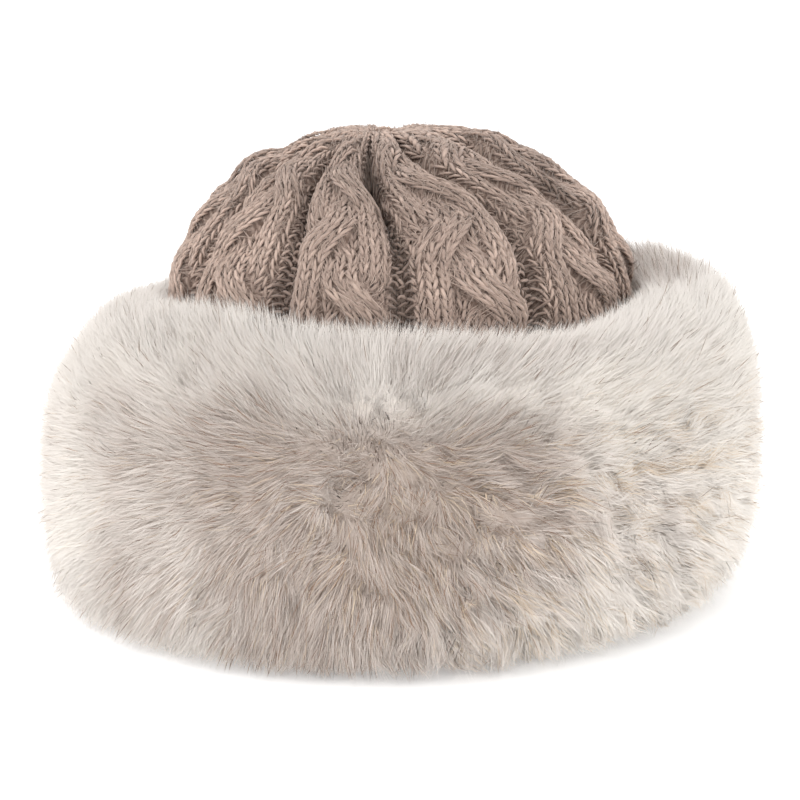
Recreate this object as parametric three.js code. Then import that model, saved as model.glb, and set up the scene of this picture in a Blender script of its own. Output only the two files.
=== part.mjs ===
// A winter hat: a cable-knitted crown, drawn in at the top, that stands in a deep fur cuff.
// Millimetres, +Z up. The origin is on the ground, under the middle of the hat, and -Y is its front.
import * as THREE from "three";

// The knitted crown, measured over the tops of its cables.
const CROWN = {
  halfWidth: 88.5, // across the head, at the widest ring
  halfLength: 99.5, // along the head, at the widest ring
  hemHeight: 7, // the hem hangs this far above the ground
  wideHeight: 104, // height of the widest ring
  topHeight: 175, // height of the drawn-in top
  hemShare: 0.985, // width of the hem, as a share of the widest ring
  domePower: 2.1, // 2 is an ellipse; more is fuller at the shoulder
  wall: 3.8, // of knitting, the same over the cables as in the grooves
};

// Cables run from the hem to the top, with a narrow purled groove between each two.
const CABLE = {
  count: 12,
  firstGroove: -65, // degrees from +X, round the hat
  grooveShare: 0.2, // of a cable's pitch
  cuffDepth: 3.2, // of a groove between its cables, where the cuff holds them flat
  domeDepth: 6.2, // of a groove on the open dome
  foldDepth: 4.5, // more depth close to the top, where the cables are drawn together
  crossingSpacing: 27, // up the knitting, between the places where a cable's halves cross
  crossingSwell: 0.8, // a cable's rise at each crossing
  openRise: 20, // the cables grow to their full depth over this height above the cuff's inner lip
};

// The pucker at the drawn-in top.
const PUCKER = {
  depth: 3, // the middle lies this far under the cables round it
  radius: 0.16, // as a share of the crown's width
  shift: [-6, -3], // it sits off centre by this much, along X and Y
};

// The fur cuff, a ring whose section is a closed outline of the outer form of the pile.
const CUFF = {
  clearance: 0.4, // between the knitting and the cuff
  innerLip: 107, // above this height the inner side rounds over to the fur's crest
  hemLean: 4, // of the inner side away from the hem, at the ground
  bellyHeight: 46, // of the widest point of the fur
  sections: 72, // round the hat
};

// Steps of the surfaces: round each cable, up the crown, and along the parts of a section of the cuff.
const STEPS = { cable: 8, crownOutside: 0.03, cuffLip: 3, cuffTop: 8, cuffFoot: 4 };

// How the fur lies round the hat. angle is in degrees from +X. foot, belly and crest are distances from
// the middle of the hat to the outer edge on the ground, the widest point and the top; height is the
// top's. fullness is the power of the curve from belly to crest: 2 is an ellipse, more is squarer.
const FUR_TABLE = [
  { angle: 22, foot: 119, belly: 139, crest: 107, height: 120, fullness: 2.5 },
  { angle: 67, foot: 124, belly: 145, crest: 112, height: 120, fullness: 2.7 },
  { angle: 112, foot: 126, belly: 147, crest: 114, height: 119, fullness: 2.4 },
  { angle: 157, foot: 126, belly: 142, crest: 104, height: 117, fullness: 2.1 },
  { angle: 202, foot: 132, belly: 140, crest: 99, height: 117, fullness: 2 },
  { angle: 247, foot: 138, belly: 147, crest: 104, height: 116, fullness: 2.1 },
  { angle: 292, foot: 131, belly: 148, crest: 108, height: 116, fullness: 2.2 },
  { angle: 337, foot: 117, belly: 141, crest: 107, height: 117, fullness: 2.4 },
];

const DEGREE = Math.PI / 180;
const TURN = 2 * Math.PI;
const QUARTER = Math.PI / 2;

const yarnMaterial = new THREE.MeshStandardMaterial({
  name: "taupe yarn",
  color: new THREE.Color(0.62, 0.545, 0.505),
  roughness: 0.95,
  metalness: 0,
});
const furMaterial = new THREE.MeshStandardMaterial({
  name: "pale fur",
  color: new THREE.Color(0.82, 0.78, 0.735),
  roughness: 0.9,
  metalness: 0,
});

const { lerp, smoothstep, euclideanModulo } = THREE.MathUtils;

// The crown's smooth outline. share runs from 0 at the hem to 1 at the top, about evenly along the
// knitting; width is a share of the widest ring.
const SIDE_LENGTH = CROWN.wideHeight - CROWN.hemHeight;
const DOME_HEIGHT = CROWN.topHeight - CROWN.wideHeight;
const DOME_LENGTH = 1.5 * CROWN.halfWidth; // along the knitting, from the widest ring to the top
const KNIT_LENGTH = SIDE_LENGTH + DOME_LENGTH;
const SIDE_SHARE = SIDE_LENGTH / KNIT_LENGTH;

function crownOutline(share) {
  if (share <= SIDE_SHARE) {
    const up = share / SIDE_SHARE;
    const width = lerp(CROWN.hemShare, 1, Math.sin(up * QUARTER));
    return { width, height: CROWN.hemHeight + SIDE_LENGTH * up };
  }
  const turn = ((share - SIDE_SHARE) / (1 - SIDE_SHARE)) * QUARTER;
  return {
    width: Math.pow(Math.max(Math.cos(turn), 0), 2 / CROWN.domePower),
    height: CROWN.wideHeight + DOME_HEIGHT * Math.pow(Math.sin(turn), 2 / CROWN.domePower),
  };
}

// How high a cable stands at an angle round the hat: 0 in the groove, 1 over its middle.
function cableShape(angle) {
  const pitch = TURN / CABLE.count;
  const along = euclideanModulo(angle - CABLE.firstGroove * DEGREE, pitch) / pitch;
  const fromGroove = Math.min(along, 1 - along) - CABLE.grooveShare / 4;
  const across = THREE.MathUtils.clamp(fromGroove / (0.5 - CABLE.grooveShare / 4), 0, 1);
  return Math.pow(Math.sin(across * QUARTER), 0.6);
}

// How far the knitting's outer face lies from the smooth outline, below it where negative. Inside the
// cuff the cables are held flat, above it they stand free, and at the very middle they run out.
function relief(angle, share) {
  const { width, height } = crownOutline(share);
  const free = smoothstep(height, CUFF.innerLip, CUFF.innerLip + CABLE.openRise);
  const fold = CABLE.foldDepth * smoothstep(1 - width, 0.3, 0.75);
  const depth = (lerp(CABLE.cuffDepth, CABLE.domeDepth, free) + fold) * smoothstep(width, 0, 0.15);
  const crossing = Math.cos((share * KNIT_LENGTH * TURN) / CABLE.crossingSpacing);
  const swell = CABLE.crossingSwell * crossing * free * smoothstep(width, 0.1, 0.4);
  const shape = cableShape(angle);
  return swell * shape - depth * (1 - shape);
}

// A point of the crown that lies this far out from the smooth outline, along its outward direction.
function crownPoint(angle, share, out) {
  const here = crownOutline(share);
  const below = crownOutline(Math.max(share - 0.004, 0));
  const above = crownOutline(Math.min(share + 0.004, 1));
  const reach = (CROWN.halfWidth + CROWN.halfLength) / 2;
  const outward = new THREE.Vector2(above.height - below.height, (below.width - above.width) * reach);
  outward.normalize();
  if (share === 1) outward.set(0, 1);
  const shift = 1 - smoothstep(here.width, 0, 0.6);
  const dip = PUCKER.depth * (1 - smoothstep(here.width, 0, PUCKER.radius));
  return new THREE.Vector3(
    Math.cos(angle) * (here.width * CROWN.halfWidth + outward.x * out) + shift * PUCKER.shift[0],
    Math.sin(angle) * (here.width * CROWN.halfLength + outward.x * out) + shift * PUCKER.shift[1],
    here.height + outward.y * out - dip,
  );
}

// A closed surface through rings of points, each ring with the same number of points or only one. With
// joined, the last ring meets the first; without, the first and the last ring are single points.
function ringSolid(rings, joined) {
  const positions = [];
  const starts = [];
  for (const ring of rings) {
    starts.push(positions.length / 3);
    for (const point of ring) positions.push(point.x, point.y, point.z);
  }
  const sides = Math.max(...rings.map((ring) => ring.length));
  const bands = joined ? rings.length : rings.length - 1;
  const index = [];
  for (let i = 0; i < bands; i++) {
    const next = (i + 1) % rings.length;
    const at = (ring, side) => starts[ring] + (rings[ring].length === 1 ? 0 : side % sides);
    for (let side = 0; side < sides; side++) {
      const [a, b] = [at(i, side), at(i, side + 1)];
      const [c, d] = [at(next, side), at(next, side + 1)];
      if (a !== b) index.push(a, b, d);
      if (c !== d) index.push(a, d, c);
    }
  }
  const geometry = new THREE.BufferGeometry();
  geometry.setAttribute("position", new THREE.Float32BufferAttribute(positions, 3));
  geometry.setIndex(index);
  geometry.computeVertexNormals();
  return geometry;
}

// The points of one ring, from a function of the angle.
function ring(sides, pointAt) {
  return Array.from({ length: sides }, (_, side) => pointAt((side / sides) * TURN));
}

// The crown's surface runs down the inside from the top to the hem, and back up the outside.
function crownGeometry() {
  const sides = CABLE.count * STEPS.cable;
  const knitRing = (share, below) =>
    ring(sides, (angle) => crownPoint(angle, share, relief(angle, share) - below));
  const innerShares = [0.93, 0.85, 0.77, 0.69, 0.6, 0.5, 0.34, 0.17, 0];
  const outerShares = [0, 0.17, 0.34];
  for (let share = 0.4; share < 0.99; share += STEPS.crownOutside) outerShares.push(share);
  return ringSolid(
    [
      [crownPoint(0, 1, -CROWN.wall)],
      ...innerShares.map((share) => knitRing(share, CROWN.wall)),
      ...outerShares.map((share) => knitRing(share, 0)),
      [crownPoint(0, 1, 0)],
    ],
    false,
  );
}

// Smooth closed curves through the rows of the fur table, whose coordinates are its columns.
const furCurve = (columns) => {
  const points = FUR_TABLE.map((row) => new THREE.Vector3(...columns.map((column) => row[column])));
  return new THREE.CatmullRomCurve3(points, true, "catmullrom", 0.5);
};
const furReach = furCurve(["foot", "belly", "crest"]);
const furTop = furCurve(["height", "fullness", "angle"]);

// The closed outline of the cuff's section at an angle, up the inner side, over the top and down the outer
// side: [distance from the middle, height] points.
function cuffOutline(angle) {
  const place = euclideanModulo(angle - FUR_TABLE[0].angle * DEGREE, TURN) / TURN;
  const { x: foot, y: belly, z: crest } = furReach.getPoint(place);
  const { x: height, y: fullness } = furTop.getPoint(place);
  const [a, b] = [CROWN.halfWidth, CROWN.halfLength];
  const knit = (a * b) / Math.hypot(b * Math.cos(angle), a * Math.sin(angle));
  const inner = knit + CUFF.clearance;
  const points = [
    [inner + CUFF.hemLean, 0],
    [inner, CUFF.hemLean],
    [inner, CUFF.innerLip],
  ];
  for (let i = 1; i < STEPS.cuffLip; i++) {
    const turn = (i / STEPS.cuffLip) * QUARTER;
    points.push([lerp(crest, inner, Math.cos(turn)), lerp(CUFF.innerLip, height, Math.sin(turn))]);
  }
  for (let i = 0; i < STEPS.cuffTop; i++) {
    const turn = (i / STEPS.cuffTop) * QUARTER;
    const out = Math.pow(Math.sin(turn), 2 / fullness);
    const up = Math.pow(Math.cos(turn), 2 / fullness);
    points.push([lerp(crest, belly, out), lerp(CUFF.bellyHeight, height, up)]);
  }
  for (let i = 0; i <= STEPS.cuffFoot; i++) {
    const turn = (i / STEPS.cuffFoot) * QUARTER;
    points.push([lerp(foot, belly, Math.cos(turn)), CUFF.bellyHeight * (1 - Math.sin(turn))]);
  }
  return points;
}

function cuffGeometry() {
  const outlines = ring(CUFF.sections, (angle) =>
    cuffOutline(angle).map(
      ([distance, height]) =>
        new THREE.Vector3(Math.cos(angle) * distance, Math.sin(angle) * distance, height),
    ),
  );
  return ringSolid(outlines, true);
}

const crown = new THREE.Mesh(crownGeometry(), yarnMaterial);
crown.name = "knit_crown";

const cuff = new THREE.Mesh(cuffGeometry(), furMaterial);
cuff.name = "fur_cuff";

const hat = new THREE.Group();
hat.add(crown, cuff);

// The ground point under the middle of the whole hat is the origin.
const box = new THREE.Box3().setFromObject(hat);
const middle = box.getCenter(new THREE.Vector3());
hat.position.set(-middle.x, -middle.y, -box.min.z);

export default hat;
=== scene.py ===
# A knitted winter hat with a deep fur cuff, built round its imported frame.
# Metres, +Z up, the hat's front towards -Y.
import math

import bmesh
import bpy
import numpy as np
from bpy.props import FloatProperty, FloatVectorProperty, IntProperty, PointerProperty
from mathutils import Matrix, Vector
from mathutils.bvhtree import BVHTree


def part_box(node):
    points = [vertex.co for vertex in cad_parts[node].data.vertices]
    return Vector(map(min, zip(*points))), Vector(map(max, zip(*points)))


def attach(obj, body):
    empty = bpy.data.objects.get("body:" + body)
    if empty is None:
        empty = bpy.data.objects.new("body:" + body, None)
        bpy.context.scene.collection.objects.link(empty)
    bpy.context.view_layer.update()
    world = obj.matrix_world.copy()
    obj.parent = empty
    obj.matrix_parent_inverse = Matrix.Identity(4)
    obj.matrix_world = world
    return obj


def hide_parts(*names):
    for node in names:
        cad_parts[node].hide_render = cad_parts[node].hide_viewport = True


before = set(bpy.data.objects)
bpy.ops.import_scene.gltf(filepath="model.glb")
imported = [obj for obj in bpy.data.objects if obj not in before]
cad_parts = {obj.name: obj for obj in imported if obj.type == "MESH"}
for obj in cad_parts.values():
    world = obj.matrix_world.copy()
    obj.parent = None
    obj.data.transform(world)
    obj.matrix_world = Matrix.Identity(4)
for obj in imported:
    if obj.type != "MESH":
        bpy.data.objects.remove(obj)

bl_info = {
    "name": "Knitted Hat With Fur Cuff",
    "version": (1, 0, 0),
    "blender": (4, 5, 0),
    "location": "View3D > Sidebar > Hat",
    "description": "Builds a cable-knitted hat with a deep fur cuff, and a plain studio round it",
    "category": "Object",
}

MM = 0.001
QUARTER = math.pi / 2
CROWN_LOW, CROWN_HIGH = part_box("knit_crown")
CUFF_LOW, CUFF_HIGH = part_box("fur_cuff")
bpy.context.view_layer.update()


class KnitSizes(bpy.types.PropertyGroup):
    """Sizes and colours of the knitted crown."""

    stitch_width: FloatProperty(
        name="Stitch width", description="Width of one stitch", default=4.3 * MM, unit="LENGTH"
    )
    row_height: FloatProperty(
        name="Row height", description="Height of one row of stitches", default=3.47 * MM, unit="LENGTH"
    )
    cross_spacing: FloatProperty(
        name="Crossing spacing",
        description="Between two crossings of a cable, along the knitting",
        default=24.3 * MM,
        unit="LENGTH",
    )
    first_cross: FloatProperty(
        name="First crossing",
        description="Of the crossing nearest the cuff, up from the hem",
        default=116.5 * MM,
        unit="LENGTH",
    )
    yarn_share: FloatProperty(name="Yarn", description="Thickness of the yarn, 1 as knitted", default=1.0)
    wide_height: FloatProperty(
        name="Widest height", description="Height of the crown's widest ring", default=104 * MM, unit="LENGTH"
    )
    groove_depth: FloatProperty(
        name="Groove depth", description="Depth of the purled grooves", default=6.5 * MM, unit="LENGTH"
    )
    fold_depth: FloatProperty(
        name="Fold depth", description="More depth where the top is drawn in", default=4.0 * MM, unit="LENGTH"
    )
    halo_fibres: IntProperty(
        name="Halo fibres", description="Loose fibres standing off the yarn", default=38000, min=0
    )
    light_colour: FloatVectorProperty(
        name="Yarn light",
        description="Colour of the yarn's raised fibres",
        default=(0.44, 0.337, 0.284),
        subtype="COLOR",
    )
    # The yarn's dark colour is partly painted shade: it darkens the stitches' ends and the wall between them. It is
    # also the darker of the yarn's fibres.
    dark_colour: FloatVectorProperty(
        name="Yarn dark",
        description="Colour of the yarn's depth",
        default=(0.196, 0.136, 0.109),
        subtype="COLOR",
    )


class FurSizes(bpy.types.PropertyGroup):
    """Sizes and colours of the fur cuff."""

    pile_hairs: IntProperty(name="Pile hairs", description="Long hairs in each pile piece", default=58000)
    pile_pieces: IntProperty(name="Pile pieces", description="Pieces that share the pile", default=3)
    under_hairs: IntProperty(name="Undercoat hairs", description="Short woolly hairs", default=18000)
    dark_hairs: IntProperty(
        name="Dark hairs",
        description="Dark guard hair tips, if they were everywhere at their densest",
        default=26000,
    )
    body_share: FloatProperty(
        name="Body", description="How far the woolly body fills the fur, as a share", default=0.72, subtype="FACTOR"
    )
    clumping: FloatProperty(
        name="Clumping", description="How far the tips gather into locks", default=0.5, subtype="FACTOR"
    )
    guard_colour: FloatVectorProperty(
        name="Guard hair", description="Colour of the dark guard hairs", default=(0.2, 0.142, 0.11), subtype="COLOR"
    )
    root_colour: FloatVectorProperty(
        name="Root", description="Colour at the hairs' roots", default=(0.58, 0.48, 0.395), subtype="COLOR"
    )
    middle_colour: FloatVectorProperty(
        name="Middle", description="Colour halfway up the hairs", default=(0.81, 0.755, 0.7), subtype="COLOR"
    )
    tip_colour: FloatVectorProperty(
        name="Tip", description="Colour at the hairs' tips", default=(0.925, 0.903, 0.875), subtype="COLOR"
    )


class StageSizes(bpy.types.PropertyGroup):
    """The camera's place and the studio."""

    azimuth: FloatProperty(
        name="Azimuth", description="Camera's angle round the hat", default=math.radians(22), subtype="ANGLE"
    )
    elevation: FloatProperty(
        name="Elevation", description="Camera's angle above the hat", default=math.radians(12.5), subtype="ANGLE"
    )
    distance: FloatProperty(
        name="Distance", description="From the camera to its target", default=0.85, unit="LENGTH"
    )
    target_height: FloatProperty(
        name="Target height", description="Height that the camera looks at", default=68 * MM, unit="LENGTH"
    )
    field: FloatProperty(
        name="Field", description="Width of the picture at the target", default=0.3112, unit="LENGTH"
    )


def smooth(value, low, high):
    """Eased step from 0 at low to 1 at high, for numbers or arrays."""
    part = np.clip((value - low) / (high - low), 0, 1)
    return part * part * (3 - 2 * part)


def ease(value):
    """Flatter-ended step from 0 at 0 to 1 at 1."""
    part = np.clip(value, 0, 1)
    return part**3 * (part * (part * 6 - 15) + 10)


def near_turn(angle, turn, reach):
    """1 at a turn round the hat in degrees, falling off within this reach."""
    return np.exp(-((np.sin((angle - math.radians(turn)) / 2) / math.sin(math.radians(reach / 2))) ** 2))


def settle(obj, material, replaced):
    """Gives a finished piece its material, body and slot, and hides the frame node that it stands for."""
    obj.data.materials.clear()
    obj.data.materials.append(material)
    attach(obj, "root")
    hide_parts(replaced)


def mesh_from_arrays(name, points, faces, uv):
    """Joins points and faces into one object. faces is a list of arrays, each with the faces of one size."""
    mesh = bpy.data.meshes.new(name)
    mesh.vertices.add(len(points))
    mesh.vertices.foreach_set("co", points.astype(np.float32).ravel())
    loops = np.concatenate([part.ravel() for part in faces])
    counts = np.concatenate([np.full(len(part), part.shape[1]) for part in faces])
    starts = np.concatenate([[0], np.cumsum(counts)[:-1]])
    mesh.loops.add(len(loops))
    mesh.loops.foreach_set("vertex_index", loops.astype(np.int32))
    mesh.polygons.add(len(counts))
    mesh.polygons.foreach_set("loop_start", starts.astype(np.int32))
    mesh.update(calc_edges=True)
    mesh.polygons.foreach_set("use_smooth", np.ones(len(counts), bool))
    layer = mesh.uv_layers.new(name="OFBake")
    layer.data.foreach_set("uv", uv[loops].astype(np.float32).ravel())
    mesh.validate()
    obj = bpy.data.objects.new(name, mesh)
    bpy.context.scene.collection.objects.link(obj)
    return obj


def object_from(mesh, name, weld):
    """Closes a bmesh's seams and poles, turns its faces outwards and makes it an object."""
    bmesh.ops.remove_doubles(mesh, verts=mesh.verts, dist=weld)
    bmesh.ops.dissolve_degenerate(mesh, edges=mesh.edges, dist=weld * 0.4)
    bmesh.ops.holes_fill(mesh, edges=[edge for edge in mesh.edges if edge.is_boundary], sides=0)
    bmesh.ops.recalc_face_normals(mesh, faces=mesh.faces)
    for face in mesh.faces:
        face.smooth = True
    data = bpy.data.meshes.new(name)
    mesh.to_mesh(data)
    mesh.free()
    obj = bpy.data.objects.new(name, data)
    bpy.context.scene.collection.objects.link(obj)
    return obj


class CrownForm:
    """The crown's smooth outline over the tops of its cables, and the relief of the cables on it.

    A place on the crown is a panel, which is one cable with half the groove on each side, a distance across from
    the panel's middle, a distance run up from the hem along the outline, and a distance out of the outline."""

    TOP_SHIFT = (-6 * MM, -3 * MM)  # of the drawn-in top, off centre
    DOME_POWER = 2.1  # 2 is an ellipse; more is fuller at the shoulder
    HEM_SHARE = 0.985  # width of the hem, as a share of the widest ring
    PROUD, PROUD_TOP = 0.7 * MM, 1 * MM  # how far the outline stands over the frame's crown
    # turn of each groove round the crown in degrees, at these distances up from the hem in millimetres
    GROOVE_RUNS = (100, 118, 136, 154, 172, 190, 215)
    GROOVE_TURNS = (
        (-130, -129, -126, -126, -128, -125, -121),
        (-96, -96, -96, -98.5, -103, -105, -104),
        (-65, -65.5, -66, -70, -78, -84, -88),
        (-32, -31.5, -31.5, -35, -46, -56, -60),
        (7, 3, -2, -8, -17, -11, 2),
        (33, 32, 31, 28, 23, 22, 26),
        (60, 59, 58, 57, 54, 53, 56),
        (88, 88, 87, 86, 86, 88, 91),
        (117, 117, 117, 116, 116, 117, 119),
        (146, 146, 147, 148, 148, 147, 148),
        (175, 175, 176, 178, 179, 178, 177),
        (203, 203, 204, 206, 207, 206, 207),
    )
    CABLES = len(GROOVE_TURNS)  # round the crown

    # how much deeper each groove folds in, in millimetres, and how far up from the hem
    FOLD_DEPTHS = np.array((2.5, 1.5, 5, 2.5, 8.0, 1, 2.5, 0.5, 2, 3, 1, 2))
    FOLD_RUNS = np.array((176, 180, 177, 186, 150, 180, 172, 175, 182, 170, 178, 184))
    FOLD_REACH = 15 * MM  # up and down the groove from there
    # how far each panel stands out at the shoulder, in millimetres
    PANEL_LIFTS = np.array((0.5, 0, -0.5, 0.5, 2.2, 0.5, -0.4, 0.8, 0, -0.5, 0.6, 0))
    SHOULDER_RUN, SHOULDER_REACH = 168 * MM, 26 * MM
    # soft dents: turn in degrees, share of the widest ring, depth in millimetres, and reach in turn and in share
    DENTS = (
        (112, 0.3, 5, 20, 0.16),
        (28, 0.68, 3.8, 32, 0.09),
        (-158, 0.42, 1.5, 25, 0.08),
        (-158, 0.66, -1.5, 25, 0.1),
    )
    UNEVEN = 0.5 * MM  # slow waves of the hand-knitted outline
    TOP_DIP = 3.5 * MM  # of the middle of the drawn-in top
    RIB_CROWN = 1.6 * MM  # fall of a rib from its middle to its edges
    RIB_INSET = 1.3 * MM  # of the ribs under the outline, for the height of the strands
    STRAND_ROUND = 1.5 * MM  # fall of a strand's back from its middle to its edges
    STRAND_LIFT = 2.2 * MM  # of a strand where it crosses in front
    GROUND_DEPTH = 2.2 * MM  # of the plain knitting between the strands
    SPREAD = 0.25  # how much wider a strand grows where it slants across
    GROUND = 3  # stands for the plain knitting that shows in the gaps of a plait

    def __init__(self, sizes):
        self.sizes = sizes
        centre = (CROWN_LOW + CROWN_HIGH) / 2
        self.half_width = CROWN_HIGH.x - centre.x + self.PROUD
        self.half_length = CROWN_HIGH.y - centre.y + self.PROUD
        top = CROWN_HIGH.z + self.PROUD_TOP
        turn = np.linspace(0, QUARTER, 600)
        side = np.linspace(0, 1, 200)
        width = np.concatenate([
            self.HEM_SHARE + (1 - self.HEM_SHARE) * np.sin(side * QUARTER),
            np.cos(turn) ** (2 / self.DOME_POWER),
        ])
        height = np.concatenate([
            CROWN_LOW.z + (sizes.wide_height - CROWN_LOW.z) * side,
            sizes.wide_height + (top - sizes.wide_height) * np.sin(turn) ** (2 / self.DOME_POWER),
        ])
        reach = (self.half_width + self.half_length) / 2
        steps = np.hypot(np.diff(width) * reach, np.diff(height))
        keep = np.concatenate([[True], steps > 1e-9])
        width, height = width[keep], height[keep]
        self.run = np.concatenate([[0], np.cumsum(np.hypot(np.diff(width) * reach, np.diff(height)))])
        self.width, self.height = width, height
        rise = np.gradient(height, self.run)
        inward = -np.gradient(width * reach, self.run)
        size = np.hypot(rise, inward)
        self.normal_out, self.normal_up = rise / size, inward / size
        self.length = self.run[-1]
        a, b = self.half_width, self.half_length
        self.perimeter = math.pi * (3 * (a + b) - math.sqrt((3 * a + b) * (a + 3 * b)))
        self.groove_turns = self.smooth_turns()

    def smooth_turns(self):
        """The grooves' turns in radians at each millimetre of the run, eased, with the first again last."""
        run = np.arange(0, self.length / MM + 1)
        turns = np.array([np.interp(run, self.GROOVE_RUNS, row) for row in self.GROOVE_TURNS])
        turns = np.vstack([turns, turns[:1] + 360])
        window = np.hanning(15)
        ends = np.pad(turns, ((0, 0), (7, 7)), mode="edge")
        return np.radians([np.convolve(row, window / window.sum(), "valid") for row in ends])

    def at(self, column, run):
        """Reads one of the outline's columns at this distance up from the hem."""
        return np.interp(run, self.run, column)

    def panel_width(self, run):
        """Mean width of one cable with its share of the grooves, at this distance up from the hem."""
        return self.at(self.width, run) * self.perimeter / self.CABLES

    def angle(self, panel, across, run):
        """Turn round the crown of a place on a panel."""
        part = across / self.panel_width(run) + 0.5
        step = np.clip(run / MM, 0, self.groove_turns.shape[1] - 1.001)
        low = step.astype(int)
        panel = panel.astype(int) % self.CABLES
        left, right = (
            self.groove_turns[g, low] * (1 - step + low) + self.groove_turns[g, low + 1] * (step - low)
            for g in (panel, panel + 1)
        )
        return left + (right - left) * part

    def place(self, panel, across, run, out):
        """Points at a distance across from the middle of a panel, up from the hem and out of the outline."""
        panel, across, run, out = np.broadcast_arrays(panel, across, run, out)
        angle = self.angle(panel, across, run)
        width, height = self.at(self.width, run), self.at(self.height, run)
        normal_out, normal_up = self.at(self.normal_out, run), self.at(self.normal_up, run)
        wave = (
            np.sin(3 * angle + 1.1) * np.sin(run / 0.021)
            + np.sin(5 * angle + 2.3) * np.sin(run / 0.034 + 0.7)
            + 0.7 * np.sin(11 * angle + 0.4) * np.sin(run / 0.017 + 2.1)
        )
        out = out + self.UNEVEN * wave * smooth(width, 0.05, 0.4)
        for turn, share, depth, turn_reach, share_reach in self.DENTS:
            near_share = np.exp(-(((width - share) / share_reach) ** 2))
            out = out - depth * MM * near_turn(angle, turn, turn_reach) * near_share
        shift = 1 - smooth(width, 0, 0.6)
        dip = self.TOP_DIP * (1 - smooth(width, 0, 0.2))
        return np.stack([
            np.cos(angle) * (width * self.half_width + normal_out * out) + shift * self.TOP_SHIFT[0],
            np.sin(angle) * (width * self.half_length + normal_out * out) + shift * self.TOP_SHIFT[1],
            height + normal_up * out - dip,
        ], -1)

    def purl_width(self, run):
        """Half the width of a groove's flat purled bottom. The cables close over it towards the top."""
        return 0.72 * self.sizes.stitch_width * smooth(self.at(self.width, run), 0.66, 0.96)

    def strand_width(self, run):
        """Width of each of the three strands of a cable."""
        return (self.panel_width(run) - 2 * self.purl_width(run)) / 3

    def plait(self, strand, run):
        """Where a strand of the plait lies, from -1 at the cable's left to 1 at its right, and how far it is
        lifted, from 1 where it crosses in front to -1 where it passes behind. A strand goes in front of the next
        from the left to the middle, then behind to the right, rests there, and comes back the same way."""
        step = (run - self.sizes.first_cross) / self.sizes.cross_spacing - 1 + 2 * strand
        step = (step + 0.5) % 6 - 0.5
        place = ease(step + 0.5) - 1 + ease(step - 0.5) - ease(step - 2.5) - ease(step - 3.5)
        turn = (step + 0.5) % 3 - 0.5
        lift = np.where(turn < 1.5, np.cos(math.pi * turn), 0)
        return place, lift

    def fold(self, panel, across, run):
        """How much deeper the groove beside this place folds in here."""
        groove = (panel.astype(int) + (across > 0)) % self.CABLES
        far = (run - self.FOLD_RUNS[groove] * MM) / self.FOLD_REACH
        return self.FOLD_DEPTHS[groove] * MM * np.exp(-(far**2))

    def rib(self, panel, across, run):
        """Depth of the rounded rib and its grooves under the outline, without the cable's strands."""
        width = self.panel_width(run)
        open_fold = self.fold(panel, across, run)
        edge = width / 2 - np.abs(across) - self.purl_width(run) - 0.35 * open_fold
        share = self.at(self.width, run)
        ramp = np.minimum(1.8 * self.sizes.stitch_width, 0.47 * width)
        rise = (1 - (1 - np.clip(edge / ramp, 0, 1)) ** 2.3) ** 0.62
        fold = smooth(1 - share, 0.12, 0.42) * (1 - 0.5 * smooth(1 - share, 0.6, 0.9))
        depth = (self.sizes.groove_depth + self.sizes.fold_depth * fold) * smooth(share, 0.1, 0.5) + open_fold
        crown = self.RIB_CROWN * (2 * across / (width + 1e-9)) ** 2 * smooth(share, 0.1, 0.5)
        shoulder = np.exp(-(((run - self.SHOULDER_RUN) / self.SHOULDER_REACH) ** 2))
        proud = self.PANEL_LIFTS[panel.astype(int)] * MM * shoulder
        return proud - depth * (1 - rise) - crown - self.RIB_INSET

    def strand(self, panel, strand, offset, run):
        """Where a point of a strand lies across the panel and out of the outline. offset is in metres across from
        the strand's middle, before the strand spreads where it crosses."""
        place, lift = self.plait(strand, run)
        width = self.strand_width(run)
        share = np.minimum(2 * np.abs(offset) / (width + 1e-9), 1)
        ground = strand == self.GROUND
        across = np.where(ground, offset, place * width + offset * (1 + self.SPREAD * np.abs(lift)))
        out = np.where(ground, -self.GROUND_DEPTH, self.strand_height(share, lift)) * smooth(width, 2 * MM, 8 * MM)
        return across, out + self.rib(panel, across, run)

    def strand_height(self, share, lift):
        """Height of a strand's rounded back at this share of its half width."""
        return self.STRAND_ROUND * (np.sqrt(1 - share**2) - 1) + self.STRAND_LIFT * lift

    def nearness(self, strand, across, run):
        """How far a place lies from a strand's middle, where 1 is its edge, and the strand's lift there."""
        place, lift = self.plait(strand, run)
        width = self.strand_width(run)
        return 2 * np.abs(across - place * width) / (width * (1 + self.SPREAD * np.abs(lift)) + 1e-9), lift

    def relief(self, panel, across, run):
        """The cable's surface over the outline, and which strand lies on top."""
        heights = []
        for strand in range(3):
            near, lift = self.nearness(strand, across, run)
            heights.append(np.where(near < 1, self.strand_height(np.minimum(near, 1), lift), -4 * MM))
        heights = np.maximum(np.stack(heights), -2.6 * MM)
        size = smooth(self.strand_width(run), 2 * MM, 8 * MM)
        return size * heights.max(0) + self.rib(panel, across, run), heights.argmax(0)


YARN_STRIPS = 48  # tones of yarn, each a strip of the yarn's map
YARN_SIDES = 5  # of a length of yarn's section


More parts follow.
